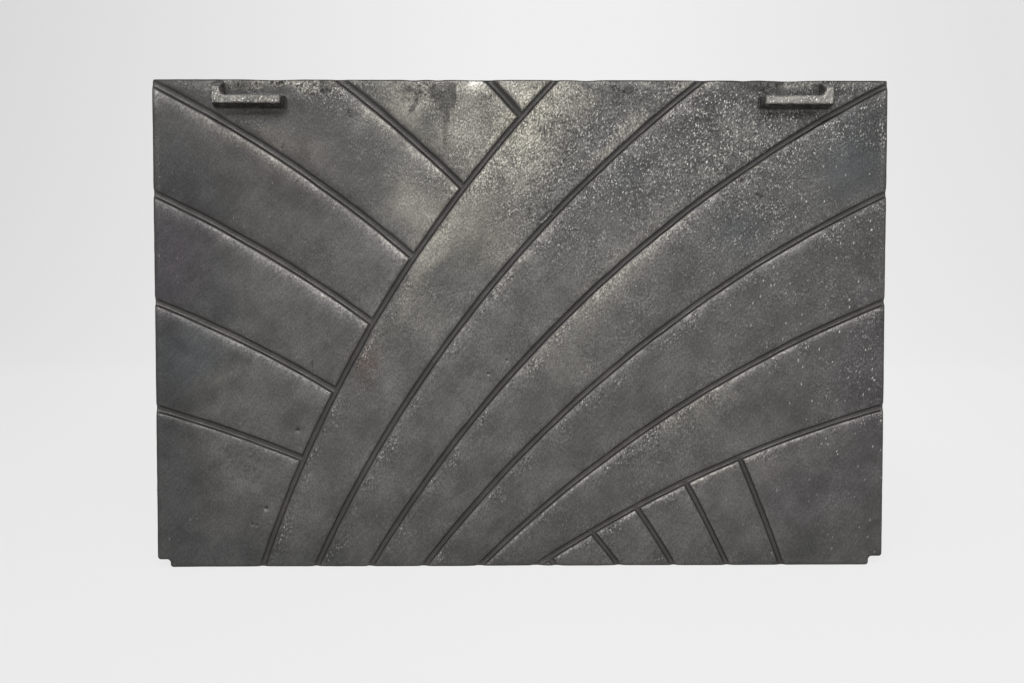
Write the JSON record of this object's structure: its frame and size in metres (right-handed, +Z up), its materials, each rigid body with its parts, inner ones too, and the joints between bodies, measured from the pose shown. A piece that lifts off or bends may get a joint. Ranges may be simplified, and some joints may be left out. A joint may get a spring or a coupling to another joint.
{
  "type": "fireback",
  "caption": "Rectangular cast-iron stove fireback with arched grooves across its face, L-shaped baffle ledges near the top edge and notched lower corners.",
  "frame": {"origin": "middle of the plate's bottom edge, half way through its thickness", "axes": "+X to the right along the plate's width, +Y out of the plain back, +Z up; the grooved face looks along -Y"},
  "size_m": [0.45, 0.024, 0.3],
  "materials": {
    "plate_iron": "sand-cast, blackened with graphite polish, semi-gloss",
    "lug_iron": "sand-cast, polish rubbed thin over bright iron"
  },
  "bodies": {
    "root": {"fireback_plate": "plate_iron", "left_ledge_lug": "lug_iron", "right_ledge_lug": "lug_iron"}
  },
  "joints": []
}
